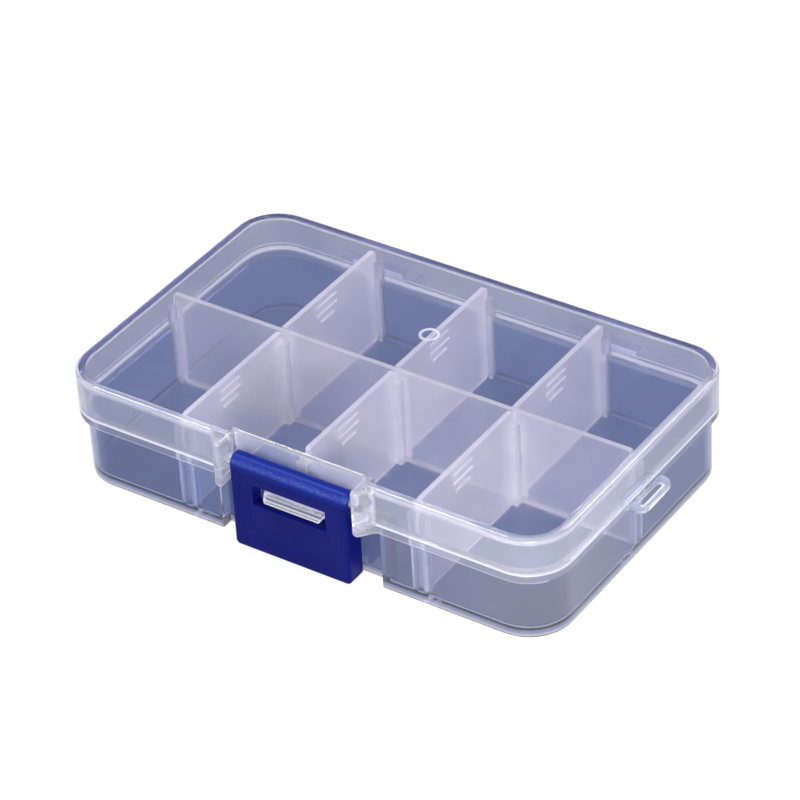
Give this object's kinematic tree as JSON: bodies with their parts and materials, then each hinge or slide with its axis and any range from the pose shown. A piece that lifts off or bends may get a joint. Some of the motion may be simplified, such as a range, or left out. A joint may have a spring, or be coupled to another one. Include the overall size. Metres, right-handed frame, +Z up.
{
  "type": "craft organizer box",
  "caption": "Small clear hinged-lid organizer box with removable dividers, a hanging loop on one end and a coloured snap latch on the front.",
  "frame": {"origin": "middle of the tray's flat underside, under the crossing of the dividers", "axes": "+X along the box towards the hanging loop, -Y towards the latch, +Y towards the hinge, +Z up through the lid"},
  "size_m": [0.113, 0.0751, 0.0236],
  "materials": {
    "clear_polypropylene": "clear moulded, slightly blue-grey, polished",
    "milky_polypropylene": "natural translucent, satin",
    "blue_polypropylene": "opaque moulded, satin gloss"
  },
  "bodies": {
    "tray": {"tray": "clear_polypropylene", "long_divider": "milky_polypropylene", "short_divider_front_left": "milky_polypropylene", "short_divider_front_middle": "milky_polypropylene", "short_divider_front_right": "milky_polypropylene", "short_divider_back_left": "milky_polypropylene", "short_divider_back_middle": "milky_polypropylene", "short_divider_back_right": "milky_polypropylene"},
    "lid": {"lid": "clear_polypropylene"},
    "latch": {"latch": "blue_polypropylene"}
  },
  "joints": [
    {"name": "lid_hinge", "type": "hinge", "parent": "tray", "child": "lid", "pos_m": [0, 0.03625, 0.0156], "axis": [-1, 0, 0], "range_deg": [0, 180]},
    {"name": "latch_pivot", "type": "hinge", "parent": "lid", "child": "latch", "pos_m": [0, -0.03455, 0.01885], "axis": [-1, 0, 0], "range_deg": [0, 110]}
  ]
}
